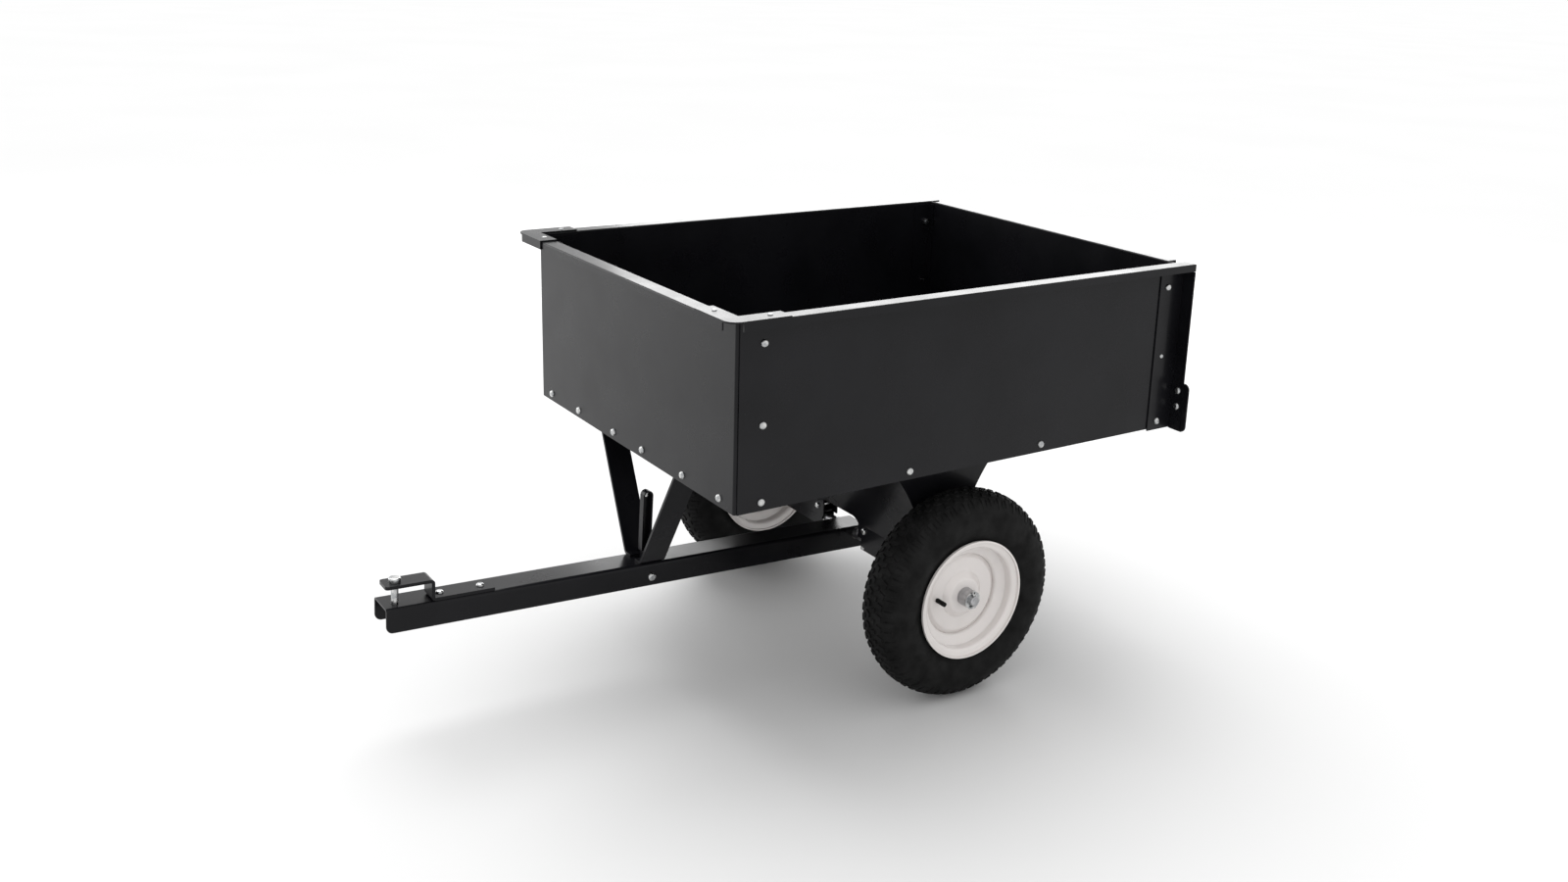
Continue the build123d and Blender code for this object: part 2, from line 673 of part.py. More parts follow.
def rim_half(hand, outboard):
    """Pressed rim half: drop well, bead seat and curled flange."""
    way = 1 if outboard else -1
    plane = Plane(origin=(hand * wheel_x, axle_y, axle_z), x_dir=(hand, 0, 0), z_dir=(0, -hand, 0))
    well = well_diameter / 2
    bead = bead_diameter / 2
    edge = rim_width / 2
    lip = rim_diameter / 2
    with BuildPart() as half:
        with BuildSketch(plane):
            with BuildLine():
                FilletPolyline(
                    (0, well),
                    (way * 15.0, well),
                    (way * 23.0, bead - 1.0),
                    (way * (edge - 9.0), bead),
                    (way * (edge - 6.5), lip - 0.5),
                    (way * edge, lip - 0.5),
                    radius=3.2,
                )
                offset(amount=rim_sheet, side=Side.RIGHT if way > 0 else Side.LEFT)
            make_face()
        revolve(axis=Axis((0, axle_y, axle_z), (1, 0, 0)))
        if outboard:
            # Wheel disc from the well to the hub, dished round its bolt circle.
            with BuildSketch(plane):
                with BuildLine():
                    FilletPolyline(
                        (dish_offset - 6.0, well - rim_sheet + 0.5),
                        (dish_offset, well - 12.0),
                        (dish_offset, 44.0),
                        (dish_offset + 9.0, 32.0),
                        (dish_offset + 9.0, hub_diameter / 2),
                        radius=3.2,
                    )
                    offset(amount=rim_sheet, side=Side.LEFT)
                make_face()
            revolve(axis=Axis((0, axle_y, axle_z), (1, 0, 0)))
            # Hole for the valve.
            valve_place = (hand * (wheel_x + dish_offset), axle_y - valve_radius, axle_z)
            with Locations(Location(valve_place, (0, 90, 0))):
                Cylinder(valve_diameter / 2, 30.0, mode=Mode.SUBTRACT)
    return half.part


valve_radius = 57.0         # valve from the wheel's axis
valve_start = dish_offset - 9.0
crown = wheel_diameter / 2
half_tyre = tyre_width / 2

for hand, name in hands:
    save(rim_half(hand, True), f"rim_outer_{name}")
    save(rim_half(hand, False), f"rim_inner_{name}")

    with BuildPart() as tyre:
        plane = Plane(origin=(hand * wheel_x, axle_y, axle_z), x_dir=(hand, 0, 0), z_dir=(0, -hand, 0))
        bead = bead_diameter / 2 + 0.3
        heel = rim_width / 2 - 10.6
        flange_x = rim_width / 2 - 7.8
        flange_r = rim_diameter / 2 + 0.6
        with BuildSketch(plane):
            with BuildLine():
                heel_right = Line((heel, bead), (flange_x, flange_r))
                right = Spline(heel_right @ 1, (half_tyre, crown - 46.0), tangents=((0.9, 0.8), (0, 1.0)))
                tread_edge = (half_tyre - 12.0, crown - 10.0)
                shoulder = Spline(right @ 1, tread_edge, tangents=((0, 1.0), (-0.7, 1.0)))
                top = ThreePointArc(shoulder @ 1, (0, crown), (-half_tyre + 12.0, crown - 10.0))
                far = Spline(top @ 1, (-half_tyre, crown - 46.0), tangents=((-0.7, -1.0), (0, -1.0)))
                left = Spline(far @ 1, (-flange_x, flange_r), tangents=((0, -1.0), (0.9, -0.8)))
                heel_left = Line(left @ 1, (-heel, bead))
                base_left = Line(heel_left @ 1, (-heel + tyre_wall, bead))
                inner_left = Spline(base_left @ 1, (-half_tyre + tyre_wall, crown - 46.0),
                                    (-half_tyre + 22.0, crown - 22.0))
                inner_top = ThreePointArc(inner_left @ 1, (0, crown - 15.0), (half_tyre - 22.0, crown - 22.0))
                inner_side = (half_tyre - tyre_wall, crown - 46.0)
                inner_right = Spline(inner_top @ 1, inner_side, (heel - tyre_wall, bead))
                Line(inner_right @ 1, heel_right @ 0)
            make_face()
        revolve(axis=Axis((0, axle_y, axle_z), (1, 0, 0)))
    save(tyre.part, f"tyre_{name}")

    half_hub = hub_length / 2
    hub_outline = [
        (-half_hub, bearing_diameter / 2 + thread_clearance),
        (half_hub, bearing_diameter / 2 + thread_clearance),
        (half_hub, hub_diameter / 2),
        (-half_hub, hub_diameter / 2),
    ]
    save(turned(hand, hub_outline), f"hub_{name}")

    bore = axle_diameter / 2 + hub_fit
    bearings = []
    for side in (-1, 1):
        inner_x = side * (half_hub - bearing_length)
        bearings.append(turned(hand, [
            (inner_x, bore),
            (side * half_hub, bore),
            (side * half_hub, bearing_diameter / 2),
            (inner_x, bearing_diameter / 2),
        ]))
    group(bearings, f"wheel_bearings_{name}")

    with BuildPart() as valve:
        valve_axis = Plane(origin=(hand * (wheel_x + valve_start), axle_y - valve_radius, axle_z), z_dir=(hand, 0, 0))
        with BuildSketch(valve_axis):
            Circle(valve_diameter / 2 - 0.1)
        extrude(amount=valve_length)
        with BuildSketch(valve_axis.offset(valve_length - 9.0)):
            Circle(valve_diameter / 2 - 1.2)
        extrude(amount=9.0)
    save(valve.part, f"valve_stem_{name}")

# ---------------------------------------------------------------- tongue


def tongue_place(x, y, z):
    """World place of a point given in the tongue's frame."""
    return tongue_frame.from_local_coords((x, y, z))


def tongue_section(y):
    """Plane across the tongue at y: local X along X, local Y up."""
    return Plane(origin=tongue_place(0, y, 0), x_dir=(1, 0, 0), z_dir=-tongue_frame.y_dir)


def tongue_flat(z, x=0, y=0):
    """Plane parallel to the tongue's top at z."""
    return Plane(origin=tongue_place(x, y, z), x_dir=(1, 0, 0), z_dir=tongue_frame.z_dir)


def tongue_side(x):
    """Plane along the tongue at x: local X runs back, local Y up."""
    return Plane(origin=tongue_place(x, 0, 0), x_dir=tongue_frame.y_dir, z_dir=(1, 0, 0))


tongue_bottom = tongue_top - tongue_height
half_tongue = tongue_width / 2
strap_bolt_spots = (tongue_front + 99.0, tongue_front + 172.0)
neck_half = 6.0
slot_front = 17.5
slot_back = 7.5
slot_half_width = lever_depth / 2 + 1.0

strap_seats = [tongue_flat(tongue_top + strap_sheet, strap_offset, y) for y in strap_bolt_spots]
pin_seat = tongue_flat(tongue_top, strap_offset, pin_y)
pivot_seat = Plane(origin=tongue_place(half_tongue, stand_mid, pivot_z), z_dir=(1, 0, 0))

with BuildPart() as tongue:
    tongue_length = tongue_reach + tongue_tail
    tongue_profile = [
        (-half_tongue, tongue_bottom),
        (-half_tongue, tongue_top),
        (half_tongue, tongue_top),
        (half_tongue, tongue_bottom),
    ]
    middle = (tongue_tail - tongue_reach) / 2
    add(bent_sheet(tongue_section(middle), tongue_profile, tongue_sheet, tongue_length,
                   radius=tongue_corner, side=Side.RIGHT))
    # Rounded lower corners of the front ends of the two side walls.
    with BuildSketch(tongue_side(0)) as nose:
        with Locations((tongue_front, tongue_bottom)):
            Rectangle(12.0, 12.0, align=(Align.MIN, Align.MIN))
        with Locations((tongue_front + 12.0, tongue_bottom + 12.0)):
            Circle(12.0, mode=Mode.SUBTRACT)
    extrude(amount=tongue_width, both=True, mode=Mode.SUBTRACT)
    # Lever slot in the top.
    with BuildSketch(tongue_flat(tongue_top, 0, stand_mid)):
        with Locations((0, (slot_back - slot_front) / 2)):
            Rectangle(2 * slot_half_width, slot_front + slot_back)
    extrude(amount=2 * tongue_sheet, both=True, mode=Mode.SUBTRACT)
    drill([pin_seat], 3 * tongue_sheet, hitch_pin_diameter)
    drill(strap_seats, 3 * strap_sheet)
    drill([pivot_seat], 2 * tongue_width, pivot_diameter)
    with Locations(across(0).shift_origin((0, axle_y, axle_z)).location):
        Cylinder(bush_diameter / 2 - 4.0, 2 * tongue_width, mode=Mode.SUBTRACT)
save(tongue.part, "tongue_channel")

with BuildPart() as tongue_bushes:
    # Collared bushes: seated in the walls, collar inside.
    bush_radius = bush_diameter / 2 - 4.0 - thread_clearance
    for hand in (-1, 1):
        with BuildSketch(across(hand * (half_tongue - tongue_sheet - bush_length / 2))):
            with Locations((axle_y, axle_z)):
                Circle(bush_radius)
        extrude(amount=bush_length / 2, both=True)
        with BuildSketch(across(hand * (half_tongue - tongue_sheet / 2))):
            with Locations((axle_y, axle_z)):
                Circle(bush_radius)
        extrude(amount=tongue_sheet / 2 + 1.5, both=True)
    with Locations(across(0).shift_origin((0, axle_y, axle_z)).location):
        Cylinder(axle_diameter / 2 + thread_clearance, 2 * tongue_width, mode=Mode.SUBTRACT)
save(tongue_bushes.part, "tongue_bushes")

with BuildPart() as hitch_strap:
    raised_end = tongue_front + strap_raised
    lifted = tongue_top + strap_rise - strap_sheet
    with BuildSketch(tongue_side(strap_offset)):
        with BuildLine():
            FilletPolyline(
                (tongue_front, lifted),
                (raised_end - strap_sheet, lifted),
                (raised_end - strap_sheet, tongue_top),
                (raised_end + strap_foot, tongue_top),
                radius=(2.0, strap_sheet + 2.0),
            )
            offset(amount=strap_sheet, side=Side.LEFT)
        make_face()
    extrude(amount=strap_width / 2, both=True)
    drill([pin_seat], 2 * strap_rise, hitch_pin_diameter)
    drill(strap_seats, 3 * strap_sheet)
    upright_edges = hitch_strap.edges().filter_by(Axis((0, 0, 0), tongue_frame.z_dir))
    fillet(upright_edges.group_by(Axis.Y)[0], radius=6.0)
save(hitch_strap.part, "hitch_strap")

pin_head = 21.0
pin_head_height = 8.0
pin_tail = 20.0             # pin's end below the tongue's top
with BuildPart() as hitch_pin:
    head_seat = tongue_flat(tongue_top + strap_rise + 0.3, strap_offset, pin_y)
    with BuildSketch(head_seat):
        Circle(pin_head / 2)
    extrude(amount=pin_head_height)
    fillet(hitch_pin.faces().sort_by(Axis.Z)[-1].edges(), radius=3.0)
    with BuildSketch(head_seat):
        Circle(hitch_pin_diameter / 2)
    extrude(amount=-(strap_rise + pin_tail))
    chamfer(hitch_pin.faces().sort_by(Axis.Z)[0].edges(), length=1.5)
save(hitch_pin.part, "hitch_pin")

# ---------------------------------------------------------------- latch stand and lever
rest_gap = 0.35             # between the stand and the tongue
notch_half = slot_half_width + 1.5
notch_back = lever_width / 2 + 3.0
with BuildPart() as latch_stand:
    base = tongue_top + rest_gap
    reach_up = (axle_drop - stand_mid * -sin(tilt)) / cos(tilt)
    leg_x = stand_half_top + 4.0
    stand_profile = [
        (-leg_x, reach_up + 8.0),
        (-stand_half_base, base),
        (stand_half_base, base),
        (leg_x, reach_up + 8.0),
    ]
    add(bent_sheet(tongue_section(stand_mid), stand_profile, stand_sheet, stand_width, radius=12.0))
    with Locations((0, bed_front, bed_bottom)):
        above = (Align.CENTER, Align.CENTER, Align.MIN)
        Box(2 * tray_width, 4 * stand_width, 60.0, align=above, mode=Mode.SUBTRACT)
    # Feet bolted under the floor.
    foot_sheet = stand_sheet - 1.0
    foot_middle = bed_front + stand_setback + stand_width / 2
    for sign in (-1, 1):
        with Locations((sign * (stand_half_top + stand_foot / 2 - 4.0), foot_middle, bed_bottom)):
            below = (Align.CENTER, Align.CENTER, Align.MAX)
            Box(stand_foot, stand_width - 6.0, foot_sheet, align=below)
    # Notch that clears the lever as the stand lifts away.
    with BuildSketch(tongue_flat(base, 0, stand_mid)):
        with Locations((0, notch_back)):
            Rectangle(2 * notch_half, stand_width, align=(Align.CENTER, Align.MAX))
    extrude(amount=3 * stand_sheet, both=True, mode=Mode.SUBTRACT)
    drill(stand_seats(), 5 * stand_sheet)
save(latch_stand.part, "latch_stand")

pivot_boss = 7.5
with BuildPart() as latch_lever:
    bar_half = lever_width / 2
    bar_start = 16.0            # full width starts this far above the tongue
    bar_top = tongue_top + lever_height
    # Web: narrow neck round the pivot, full-width bar with a round top above.
    with BuildSketch(tongue_side(-lever_depth / 2)):
        with Locations((stand_mid, pivot_z)):
            Circle(pivot_boss)
        with Locations((stand_mid, (pivot_z + tongue_top + bar_start) / 2)):
            Rectangle(2 * neck_half, tongue_top + bar_start - pivot_z + 2.0)
        with Locations((stand_mid, (tongue_top + bar_start + bar_top - bar_half) / 2)):
            Rectangle(lever_width, bar_top - bar_half - tongue_top - bar_start)
        with Locations((stand_mid, bar_top - bar_half)):
            Circle(bar_half)
    extrude(amount=lever_depth)
    # Channel: hollow from the left, leaving the web and the rim round the edge.
    with BuildSketch(tongue_side(-lever_depth / 2 + lever_sheet)):
        with Locations((stand_mid, (tongue_top + bar_start + lever_sheet + bar_top - bar_half) / 2)):
            hollow_height = bar_top - bar_half - tongue_top - bar_start - lever_sheet
            Rectangle(lever_width - 2 * lever_sheet, hollow_height)
        with Locations((stand_mid, bar_top - bar_half)):
            Circle(bar_half - lever_sheet)
    extrude(amount=lever_depth, mode=Mode.SUBTRACT)
    with Locations(Plane(origin=tongue_place(0, stand_mid, pivot_z), z_dir=(1, 0, 0)).location):
        Cylinder(pivot_diameter / 2 + pivot_fit, 2 * tongue_width, mode=Mode.SUBTRACT)
    with Locations(Plane(origin=tongue_place(0, stand_mid, bar_top - bar_half), z_dir=(1, 0, 0)).location):
        Cylinder(screw_diameter / 2 + thread_clearance, 2 * tongue_width, mode=Mode.SUBTRACT)
save(latch_lever.part, "latch_lever")

with BuildPart() as lever_rivet:
    rivet_z = bar_top - bar_half
    with BuildSketch(tongue_side(-lever_depth / 2 - 1.5)):
        with Locations((stand_mid, rivet_z)):
            Circle(screw_diameter / 2)
    extrude(amount=lever_sheet + 3.5)
    with BuildSketch(tongue_side(-lever_depth / 2 + lever_sheet)):
        with Locations((stand_mid, rivet_z)):
            Circle(screw_diameter / 2 + 1.6)
    extrude(amount=2.0)
save(lever_rivet.part, "lever_rivet")

with BuildPart() as lever_spring:
    # Torsion spring wound round the pivot, beside the lever.
    wire = 1.8
    coil_radius = pivot_diameter / 2 + 2.4
    coil_start = tongue_place(lever_depth / 2 + 2.5, stand_mid, pivot_z)
    with BuildLine() as coil:
        pitch = wire + 0.4
        Helix(pitch, 5 * pitch, coil_radius, center=coil_start, direction=(1, 0, 0))
    with BuildSketch(Plane(origin=coil.line @ 0, z_dir=coil.line % 0)):
        Circle(wire / 2)
    sweep(path=coil.line, is_frenet=True)
save(lever_spring.part, "lever_spring")

# ---------------------------------------------------------------- fasteners
panel_grip = 2 * tray_sheet


def bolts(spots, **sizes):
    """A bolt for every (seats, grip) pair's seats."""
    return [dome_bolt(seat, grip, **sizes) for seats, grip in spots for seat in seats]


def nuts(spots, **sizes):
    """A nut for every (seats, grip) pair's seats."""
    return [hex_nut(seat, grip, **sizes) for seats, grip in spots for seat in seats]


panel_spots = [(front_seats + side_seats(1) + side_seats(-1), panel_grip)]
post_spots = [(post_seats(1) + post_seats(-1), panel_grip + post_sheet)]
stop_spots = [(stop_seats(1) + stop_seats(-1), post_sheet + stop_sheet)]
floor_spots = [(floor_seats(), tray_sheet + support_sheet), (stand_seats(), tray_sheet + foot_sheet)]
cross_spots = [(cross_seats(), support_foot)]
strap_spots = [(strap_seats, strap_sheet + tongue_sheet)]
cap_spots = [(cap_seats(1) + cap_seats(-1), cap_sheet + tray_sheet)]
pinch_spots = [([pinch_seats[1], pinch_seats[-1]], channel_width)]
screw_spots = [([post_screw_seat(1), post_screw_seat(-1)], panel_grip + post_sheet)]

group(bolts(panel_spots), "panel_bolts")
group(bolts(post_spots), "post_bolts")
group(bolts(stop_spots), "stop_bolts")
group(bolts(floor_spots), "floor_bolts")
group(bolts(cross_spots), "cross_bolts")
group(bolts(strap_spots), "strap_bolts")
group(nuts(panel_spots + post_spots + stop_spots + floor_spots + cross_spots), "tray_nuts")
group(nuts(strap_spots), "strap_nuts")

small = {"shank": screw_diameter, "head": screw_head, "height": screw_head_height}
group(bolts(cap_spots, **small), "cap_screws")
group(bolts(pinch_spots, **small), "pinch_screws")
group(bolts(screw_spots, **small), "post_screws")
small_nut = {"shank": screw_diameter, "width": 8.0, "height": 4.0}
group(nuts(cap_spots + pinch_spots, **small_nut), "small_nuts")

group([dome_bolt(pivot_seat, tongue_width, shank=pivot_diameter, head=16.0, height=5.0)], "pivot_bolt")
group([hex_nut(pivot_seat, tongue_width, shank=pivot_diameter, width=15.0)], "pivot_nut")
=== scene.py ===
"""Looks for the tow-behind dump cart: materials, treaded tyres, studio and camera."""

import json
import math

import bmesh
import bpy
from mathutils import Matrix, Vector


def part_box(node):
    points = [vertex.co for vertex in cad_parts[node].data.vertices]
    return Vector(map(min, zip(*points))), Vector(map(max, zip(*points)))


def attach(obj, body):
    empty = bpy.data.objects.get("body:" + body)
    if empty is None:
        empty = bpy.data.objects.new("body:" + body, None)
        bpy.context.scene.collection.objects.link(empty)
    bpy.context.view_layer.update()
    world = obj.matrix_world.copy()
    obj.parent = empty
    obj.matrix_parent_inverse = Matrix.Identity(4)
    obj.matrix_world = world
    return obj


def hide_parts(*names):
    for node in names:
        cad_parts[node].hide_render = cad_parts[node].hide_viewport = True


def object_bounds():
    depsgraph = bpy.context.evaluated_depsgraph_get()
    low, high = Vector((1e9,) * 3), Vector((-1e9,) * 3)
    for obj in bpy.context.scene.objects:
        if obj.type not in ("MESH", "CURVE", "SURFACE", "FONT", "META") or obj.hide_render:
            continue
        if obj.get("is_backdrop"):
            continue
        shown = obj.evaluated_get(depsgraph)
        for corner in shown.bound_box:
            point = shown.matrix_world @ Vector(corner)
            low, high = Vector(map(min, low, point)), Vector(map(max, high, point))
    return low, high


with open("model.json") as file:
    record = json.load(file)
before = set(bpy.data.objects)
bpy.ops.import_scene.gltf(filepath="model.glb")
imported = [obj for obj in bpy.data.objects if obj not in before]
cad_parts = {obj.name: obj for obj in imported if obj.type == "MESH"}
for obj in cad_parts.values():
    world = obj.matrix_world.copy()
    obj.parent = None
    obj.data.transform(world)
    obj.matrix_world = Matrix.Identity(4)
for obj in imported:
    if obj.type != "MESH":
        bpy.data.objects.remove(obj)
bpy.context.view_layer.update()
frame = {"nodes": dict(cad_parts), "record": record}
scene = bpy.context.scene


# ---------------------------------------------------------------- materials
COAT_ROUGHNESS = 0.12
# Parts of the noise's range over which a colour and a roughness change.
COLOR_SPAN = (0.35, 0.65)
ROUGHNESS_SPAN = (0.3, 0.7)


def shader(name, color, roughness, metallic=0.0, coat=0.0, specular=0.5):
    """Principled material with constants set on the shader's own sockets."""
    material = bpy.data.materials.new(name)
    material.use_nodes = True
    surface = material.node_tree.nodes["Principled BSDF"]
    surface.inputs["Base Color"].default_value = (*color, 1)
    surface.inputs["Roughness"].default_value = roughness
    surface.inputs["Metallic"].default_value = metallic
    surface.inputs["Coat Weight"].default_value = coat
    surface.inputs["Coat Roughness"].default_value = COAT_ROUGHNESS
    surface.inputs["Specular IOR Level"].default_value = specular
    return material


def noise(material, scale, detail=4.0, stretch=(1, 1, 1)):
    """Noise in the piece's own coordinates."""
    tree = material.node_tree
    place = tree.nodes.new("ShaderNodeTexCoord")
    mapping = tree.nodes.new("ShaderNodeMapping")
    mapping.inputs["Scale"].default_value = stretch
    texture = tree.nodes.new("ShaderNodeTexNoise")
    texture.inputs["Scale"].default_value = scale
    texture.inputs["Detail"].default_value = detail
    tree.links.new(place.outputs["Object"], mapping.inputs["Vector"])
    tree.links.new(mapping.outputs["Vector"], texture.inputs["Vector"])
    return texture


def vary_color(material, texture, low, high):
    """Base colour that drifts between two tones."""
    tree = material.node_tree
    ramp = tree.nodes.new("ShaderNodeValToRGB")
    for stop, position, tone in zip(ramp.color_ramp.elements, COLOR_SPAN, (low, high)):
        stop.position = position
        stop.color = (*tone, 1)
    tree.links.new(texture.outputs["Fac"], ramp.inputs["Fac"])
    tree.links.new(ramp.outputs["Color"], tree.nodes["Principled BSDF"].inputs["Base Color"])


def vary_roughness(material, texture, low, high):
    """Roughness that drifts between two values."""
    tree = material.node_tree
    span = tree.nodes.new("ShaderNodeMapRange")
    span.inputs["To Min"].default_value = low
    span.inputs["To Max"].default_value = high
    span.inputs["From Min"].default_value = ROUGHNESS_SPAN[0]
    span.inputs["From Max"].default_value = ROUGHNESS_SPAN[1]
    tree.links.new(texture.outputs["Fac"], span.inputs["Value"])
    tree.links.new(span.outputs["Result"], tree.nodes["Principled BSDF"].inputs["Roughness"])


def bump(material, texture, strength, distance):
    """Fine relief from a texture."""
    tree = material.node_tree
    relief = tree.nodes.new("ShaderNodeBump")
    relief.inputs["Strength"].default_value = strength
    relief.inputs["Distance"].default_value = distance
    tree.links.new(texture.outputs["Fac"], relief.inputs["Height"])
    tree.links.new(relief.outputs["Normal"], tree.nodes["Principled BSDF"].inputs["Normal"])


black = shader("black_powder_coat", (0.005, 0.005, 0.006), 0.3, coat=0.12, specular=0.14)
vary_color(black, noise(black, 6.0), (0.0035, 0.0035, 0.0045), (0.0065, 0.0065, 0.008))
vary_roughness(black, noise(black, 14.0, 6.0), 0.25, 0.34)
bump(black, noise(black, 900.0, 3.0), 0.12, 0.0003)

wheel_paint = shader("wheel_gloss_paint", (0.72, 0.68, 0.66), 0.16, coat=0.8)
vary_color(wheel_paint, noise(wheel_paint, 9.0), (0.69, 0.65, 0.63), (0.75, 0.71, 0.69))
vary_roughness(wheel_paint, noise(wheel_paint, 22.0), 0.12, 0.2)
bump(wheel_paint, noise(wheel_paint, 160.0), 0.05, 0.0004)

rubber = shader("tyre_rubber", (0.009, 0.009, 0.009), 0.7, specular=0.12)
vary_color(rubber, noise(rubber, 30.0, 6.0), (0.003, 0.003, 0.003), (0.009, 0.009, 0.009))
vary_roughness(rubber, noise(rubber, 45.0, 6.0), 0.55, 0.8)
bump(rubber, noise(rubber, 700.0, 5.0), 0.3, 0.0005)

zinc = shader("zinc_plate", (0.5, 0.5, 0.5), 0.22, metallic=1.0)
vary_color(zinc, noise(zinc, 120.0), (0.34, 0.35, 0.36), (0.62, 0.62, 0.61))
vary_roughness(zinc, noise(zinc, 260.0), 0.16, 0.34)
bump(zinc, noise(zinc, 1500.0), 0.1, 0.0002)

steel = shader("plain_steel", (0.42, 0.42, 0.43), 0.35, metallic=1.0)
vary_color(steel, noise(steel, 80.0), (0.32, 0.32, 0.33), (0.5, 0.5, 0.51))
vary_roughness(steel, noise(steel, 60.0, stretch=(1, 8, 8)), 0.28, 0.45)
bump(steel, noise(steel, 600.0, stretch=(1, 6, 6)), 0.12, 0.0002)

plastic = shader("bush_plastic", (0.03, 0.03, 0.03), 0.5)
vary_color(plastic, noise(plastic, 60.0), (0.022, 0.022, 0.022), (0.038, 0.038, 0.038))
bump(plastic, noise(plastic, 900.0), 0.15, 0.0002)

by_slot = {
    "black_paint": black,
    "wheel_paint": wheel_paint,
    "tyre": rubber,
    "valve_rubber": rubber,
    "bush_plastic": plastic,
    "zinc": zinc,
    "steel": steel,
}
node_slot = {part["node"]: part["material_slot"] for part in frame["record"]["subparts"]}
for name, node in frame["nodes"].items():
    node.data.materials.clear()
    node.data.materials.append(by_slot[node_slot[name]])


# ---------------------------------------------------------------- tyres
WHEEL_RADIUS = 0.2
RING_STEPS = 128
LUG_COUNT = 58
LUG_HEIGHT = 0.0026
LUG_TOP_LIMIT = 0.1998  # keeps the blocks just inside the wheel's radius
LUG_ROOT = 0.992  # share of the carcass radius at which a block starts
LUG_TOP_ACROSS = 0.86  # a block's top as a share of its foot, across the tread
LUG_TOP_ALONG = 0.84  # and along it

# (distance from the middle plane, radius) on the outboard half, crown first
CARCASS = [
    (0.0, 0.1972), (0.012, 0.1964), (0.022, 0.1942), (0.031, 0.1902), (0.0385, 0.1842),
    (0.0435, 0.1765), (0.0470, 0.1675), (0.0490, 0.1575), (0.0495, 0.1470), (0.0482, 0.1365),
    (0.0452, 0.1275), (0.0434, 0.1244), (0.0424, 0.1225), (0.0410, 0.1185), (0.0396, 0.1160),
    (0.0384, 0.1100), (0.0370, 0.1025),
]
# (place across the tyre, radius) of the air side, from one bead to the other
LINING = [
    (0.0300, 0.1020), (0.0380, 0.1450), (0.0350, 0.1780), (0.0, 0.1840),
    (-0.0350, 0.1780), (-0.0380, 0.1450), (-0.0300, 0.1020),
]
# Corners of a tread block: distance from the middle plane, and share of half a pitch round the tyre
CENTRE_BLOCK = [(0.0015, -0.7), (0.0125, -0.35), (0.0125, 0.55), (0.0015, 0.2)]
MIDDLE_BLOCK = [(0.0150, -0.2), (0.0265, -0.75), (0.0275, 0.25), (0.0160, 0.75)]
SHOULDER_START, SHOULDER_BEND = 0.0300, 0.0380
SHOULDER_LONG, SHOULDER_SHORT = 0.0452, 0.0425


def shoulder_block(reach):
    """Corners of a shoulder block that runs out to a distance from the middle plane."""
    return [
        (SHOULDER_START, -0.62), (SHOULDER_BEND, -0.62), (reach, -0.5),
        (reach, 0.5), (SHOULDER_BEND, 0.62), (SHOULDER_START, 0.62),
    ]


def surface_radius(x):
    """Radius of the carcass at a distance from the middle plane, out to its widest point."""
    for (x0, r0), (x1, r1) in zip(CARCASS, CARCASS[1:]):
        if x0 <= x <= x1:
            return r0 + (r1 - r0) * (x - x0) / (x1 - x0)
    raise ValueError("that distance is past the widest point of the carcass")


def round_axle(x, radius, angle):
    """Point at a radius and an angle round the axle."""
    return x, radius * math.sin(angle), radius * math.cos(angle)


def add_lug(mesh, block, angle, flip):
    """Tread block raised from the carcass, narrower at its top. A flip of -1 mirrors it."""
    half_pitch = 0.5 * (2 * math.pi / LUG_COUNT) * WHEEL_RADIUS
    outline = [(x, half_pitch * share) for x, share in block]
    centre_x = sum(x for x, _ in outline) / len(outline)
    centre_s = sum(s for _, s in outline) / len(outline)
    bottom, top = [], []
    for x, s in outline:
        low = surface_radius(x) * LUG_ROOT
        bottom.append(mesh.verts.new(round_axle(flip * x, low, angle + s / WHEEL_RADIUS)))
        x_top = centre_x + (x - centre_x) * LUG_TOP_ACROSS
        s_top = centre_s + (s - centre_s) * LUG_TOP_ALONG
        high = min(surface_radius(x_top) + LUG_HEIGHT, LUG_TOP_LIMIT)
        top.append(mesh.verts.new(round_axle(flip * x_top, high, angle + s_top / WHEEL_RADIUS)))
    mesh.faces.new(top)
    for i in range(len(outline)):
        j = (i + 1) % len(outline)
        mesh.faces.new((bottom[i], bottom[j], top[j], top[i]))


def tyre_mesh(name):
    """Carcass with its lining, centre and middle blocks, and staggered shoulder blocks."""
    mesh = bmesh.new()
    ring = [(-x, r) for x, r in reversed(CARCASS)] + CARCASS[1:] + LINING
    rows = []
    for k in range(RING_STEPS):
        angle = 2 * math.pi * k / RING_STEPS
        rows.append([mesh.verts.new(round_axle(x, r, angle)) for x, r in ring])
    for k in range(RING_STEPS):
        here, there = rows[k], rows[(k + 1) % RING_STEPS]
        for i in range(len(ring)):
            j = (i + 1) % len(ring)
            face = mesh.faces.new((here[i], there[i], there[j], here[j]))
            face.smooth = True
    pitch = 2 * math.pi / LUG_COUNT
    for k in range(LUG_COUNT):
        angle = k * pitch
        between = angle + pitch / 2
        add_lug(mesh, CENTRE_BLOCK, angle, 1)
        add_lug(mesh, CENTRE_BLOCK, between, -1)
        add_lug(mesh, MIDDLE_BLOCK, between, 1)
        add_lug(mesh, MIDDLE_BLOCK, angle, -1)
        shoulder = shoulder_block(SHOULDER_LONG if k % 2 else SHOULDER_SHORT)
        add_lug(mesh, shoulder, angle, 1)
        add_lug(mesh, shoulder, between, -1)
    bmesh.ops.recalc_face_normals(mesh, faces=mesh.faces[:])
    data = bpy.data.meshes.new(name)
    mesh.to_mesh(data)
    mesh.free()
    return data


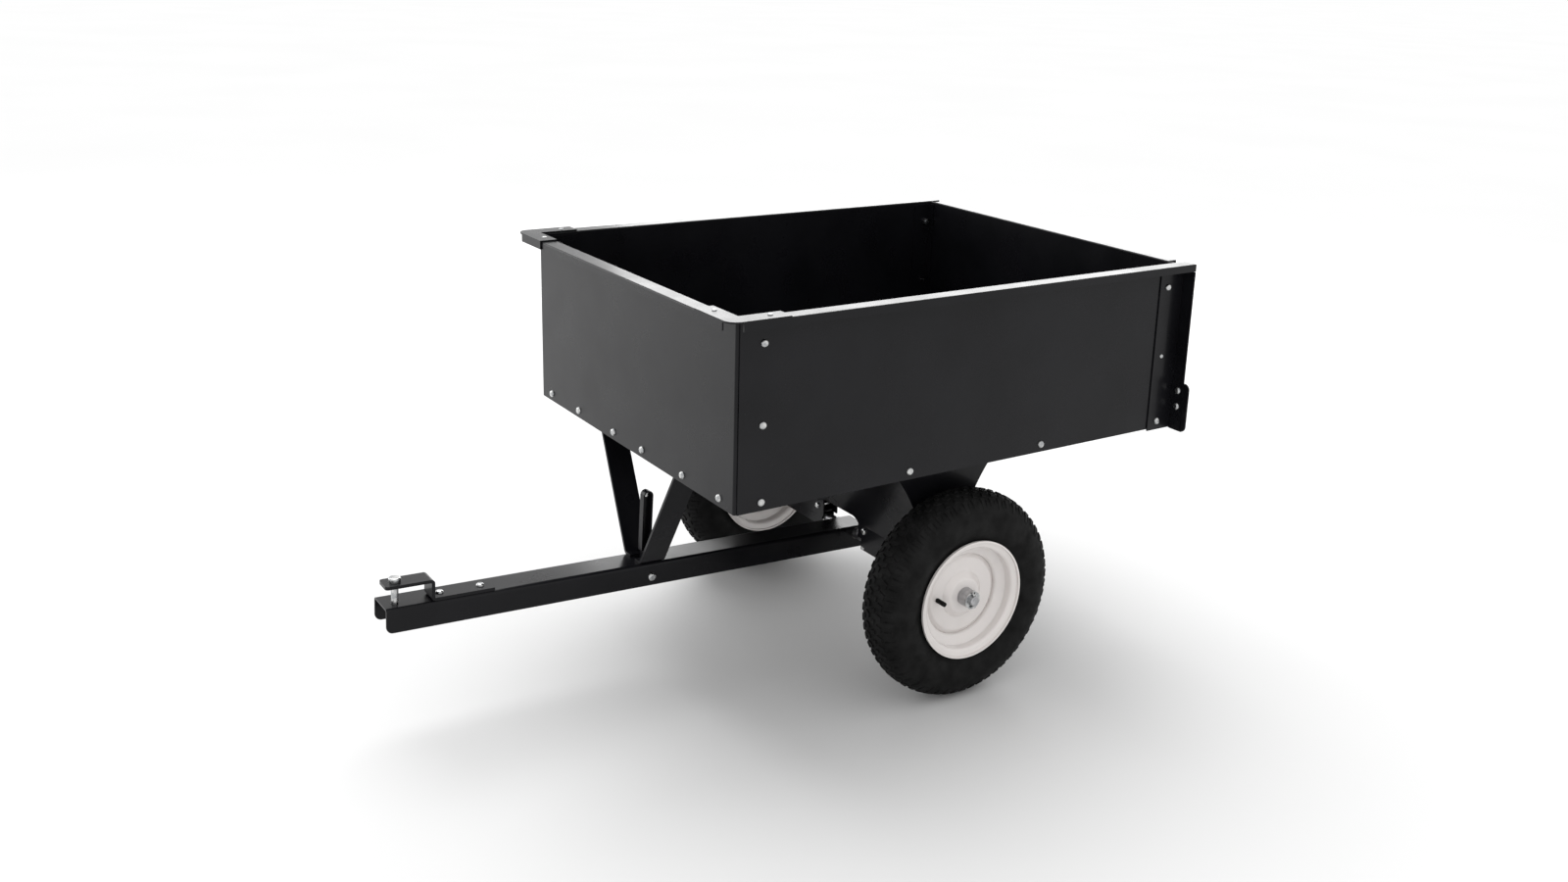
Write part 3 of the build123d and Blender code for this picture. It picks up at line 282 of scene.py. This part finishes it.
def new_piece(name, mesh, material, body):
    """Mesh object that rides on a body and wears the given material."""
    piece = bpy.data.objects.new(name, mesh)
    scene.collection.objects.link(piece)
    piece.data.materials.append(material)
    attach(piece, body)
    return piece


for side in ("left", "right"):
    low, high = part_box(f"tyre_{side}")
    centre = (low + high) / 2
    data = tyre_mesh(f"treaded_tyre_{side}")
    if side == "right":
        data.transform(Matrix.Rotation(math.pi, 4, "Z"))
    data.transform(Matrix.Translation(centre))
    tyre = new_piece(f"treaded_tyre_{side}", data, rubber, f"wheel_{side}")
    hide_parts(f"tyre_{side}")


# ---------------------------------------------------------------- studio
FLOOR_EDGE = 300.0  # half the floor's width, far enough for its edge not to show
LIGHT_TARGET = (0, 0.1, 0.4)
FILL_PLACE = (-3.4, -2.6, 1.5)
RIM_PLACE = (-3.4, 3.0, 2.0)
SKY_DIRECTION = (-0.45, 0.12, 1.0)
SKY_SPREAD = math.radians(50)

floor_paint = shader("studio_floor", (0.62, 0.62, 0.62), 1.0, specular=0.0)
vary_color(floor_paint, noise(floor_paint, 0.7), (0.615, 0.615, 0.615), (0.625, 0.625, 0.625))
floor_data = bpy.data.meshes.new("studio_floor")
corners = [(FLOOR_EDGE * x, FLOOR_EDGE * y, 0) for x, y in ((-1, -1), (1, -1), (1, 1), (-1, 1))]
floor_data.from_pydata(corners, [], [(0, 1, 2, 3)])
floor = bpy.data.objects.new("studio_floor", floor_data)
floor.data.materials.append(floor_paint)
scene.collection.objects.link(floor)
floor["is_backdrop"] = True

world = bpy.data.worlds.new("studio")
scene.world = world
world.use_nodes = True
world.node_tree.nodes["Background"].inputs["Color"].default_value = (1.0, 1.0, 1.0, 1)
world.node_tree.nodes["Background"].inputs["Strength"].default_value = 1.0


def softbox(name, place, size, power):
    """Square area light aimed at the object."""
    light = bpy.data.lights.new(name, "AREA")
    light.energy = power
    light.size = size
    lamp = bpy.data.objects.new(name, light)
    lamp.location = place
    aim = Vector(LIGHT_TARGET) - Vector(place)
    lamp.rotation_euler = aim.to_track_quat("-Z", "Y").to_euler()
    scene.collection.objects.link(lamp)
    return lamp


softbox("front_fill", FILL_PLACE, size=2.4, power=42)
rim_light = softbox("rim_light", RIM_PLACE, size=3.0, power=95)
rim_light.visible_camera = False

sky = bpy.data.lights.new("soft_sky", "SUN")
sky.energy = 2.1
sky.angle = SKY_SPREAD
sky_lamp = bpy.data.objects.new("soft_sky", sky)
sky_lamp.rotation_euler = Vector(SKY_DIRECTION).to_track_quat("Z", "Y").to_euler()
scene.collection.objects.link(sky_lamp)


# ---------------------------------------------------------------- camera
AZIMUTH = math.radians(55.73)
ELEVATION = math.radians(15.95)
ROLL = math.radians(1.88)
CAMERA_DISTANCE = 2.8696
TARGET_ASIDE = 0.0029
TARGET_BEFORE_AXLE = 0.0948
TARGET_HEIGHT = 0.5556
SENSOR_WIDTH = 36.0
LENS = 33.79
SHIFT_X, SHIFT_Y = -0.0198, -0.0469

axle_low, axle_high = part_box("axle_rod")
axle_y = (axle_low.y + axle_high.y) / 2
target = Vector((TARGET_ASIDE, axle_y - TARGET_BEFORE_AXLE, TARGET_HEIGHT))
back = Vector((
    math.sin(AZIMUTH) * math.cos(ELEVATION),
    -math.cos(AZIMUTH) * math.cos(ELEVATION),
    math.sin(ELEVATION),
))
right = (-back).cross(Vector((0, 0, 1))).normalized()
up = right.cross(-back).normalized()
rolled_right = right * math.cos(ROLL) + up * math.sin(ROLL)
rolled_up = up * math.cos(ROLL) - right * math.sin(ROLL)
place = target + back * CAMERA_DISTANCE

camera_data = bpy.data.cameras.new("camera")
camera_data.sensor_width = SENSOR_WIDTH
camera_data.lens = LENS
camera_data.shift_x = SHIFT_X
camera_data.shift_y = SHIFT_Y
camera_data.clip_end = 1000.0
camera = bpy.data.objects.new("camera", camera_data)
camera.matrix_world = Matrix((
    (rolled_right.x, rolled_up.x, back.x, place.x),
    (rolled_right.y, rolled_up.y, back.y, place.y),
    (rolled_right.z, rolled_up.z, back.z, place.z),
    (0, 0, 0, 1),
))
scene.collection.objects.link(camera)
scene.camera = camera
scene.view_settings.view_transform = "Standard"

low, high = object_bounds()
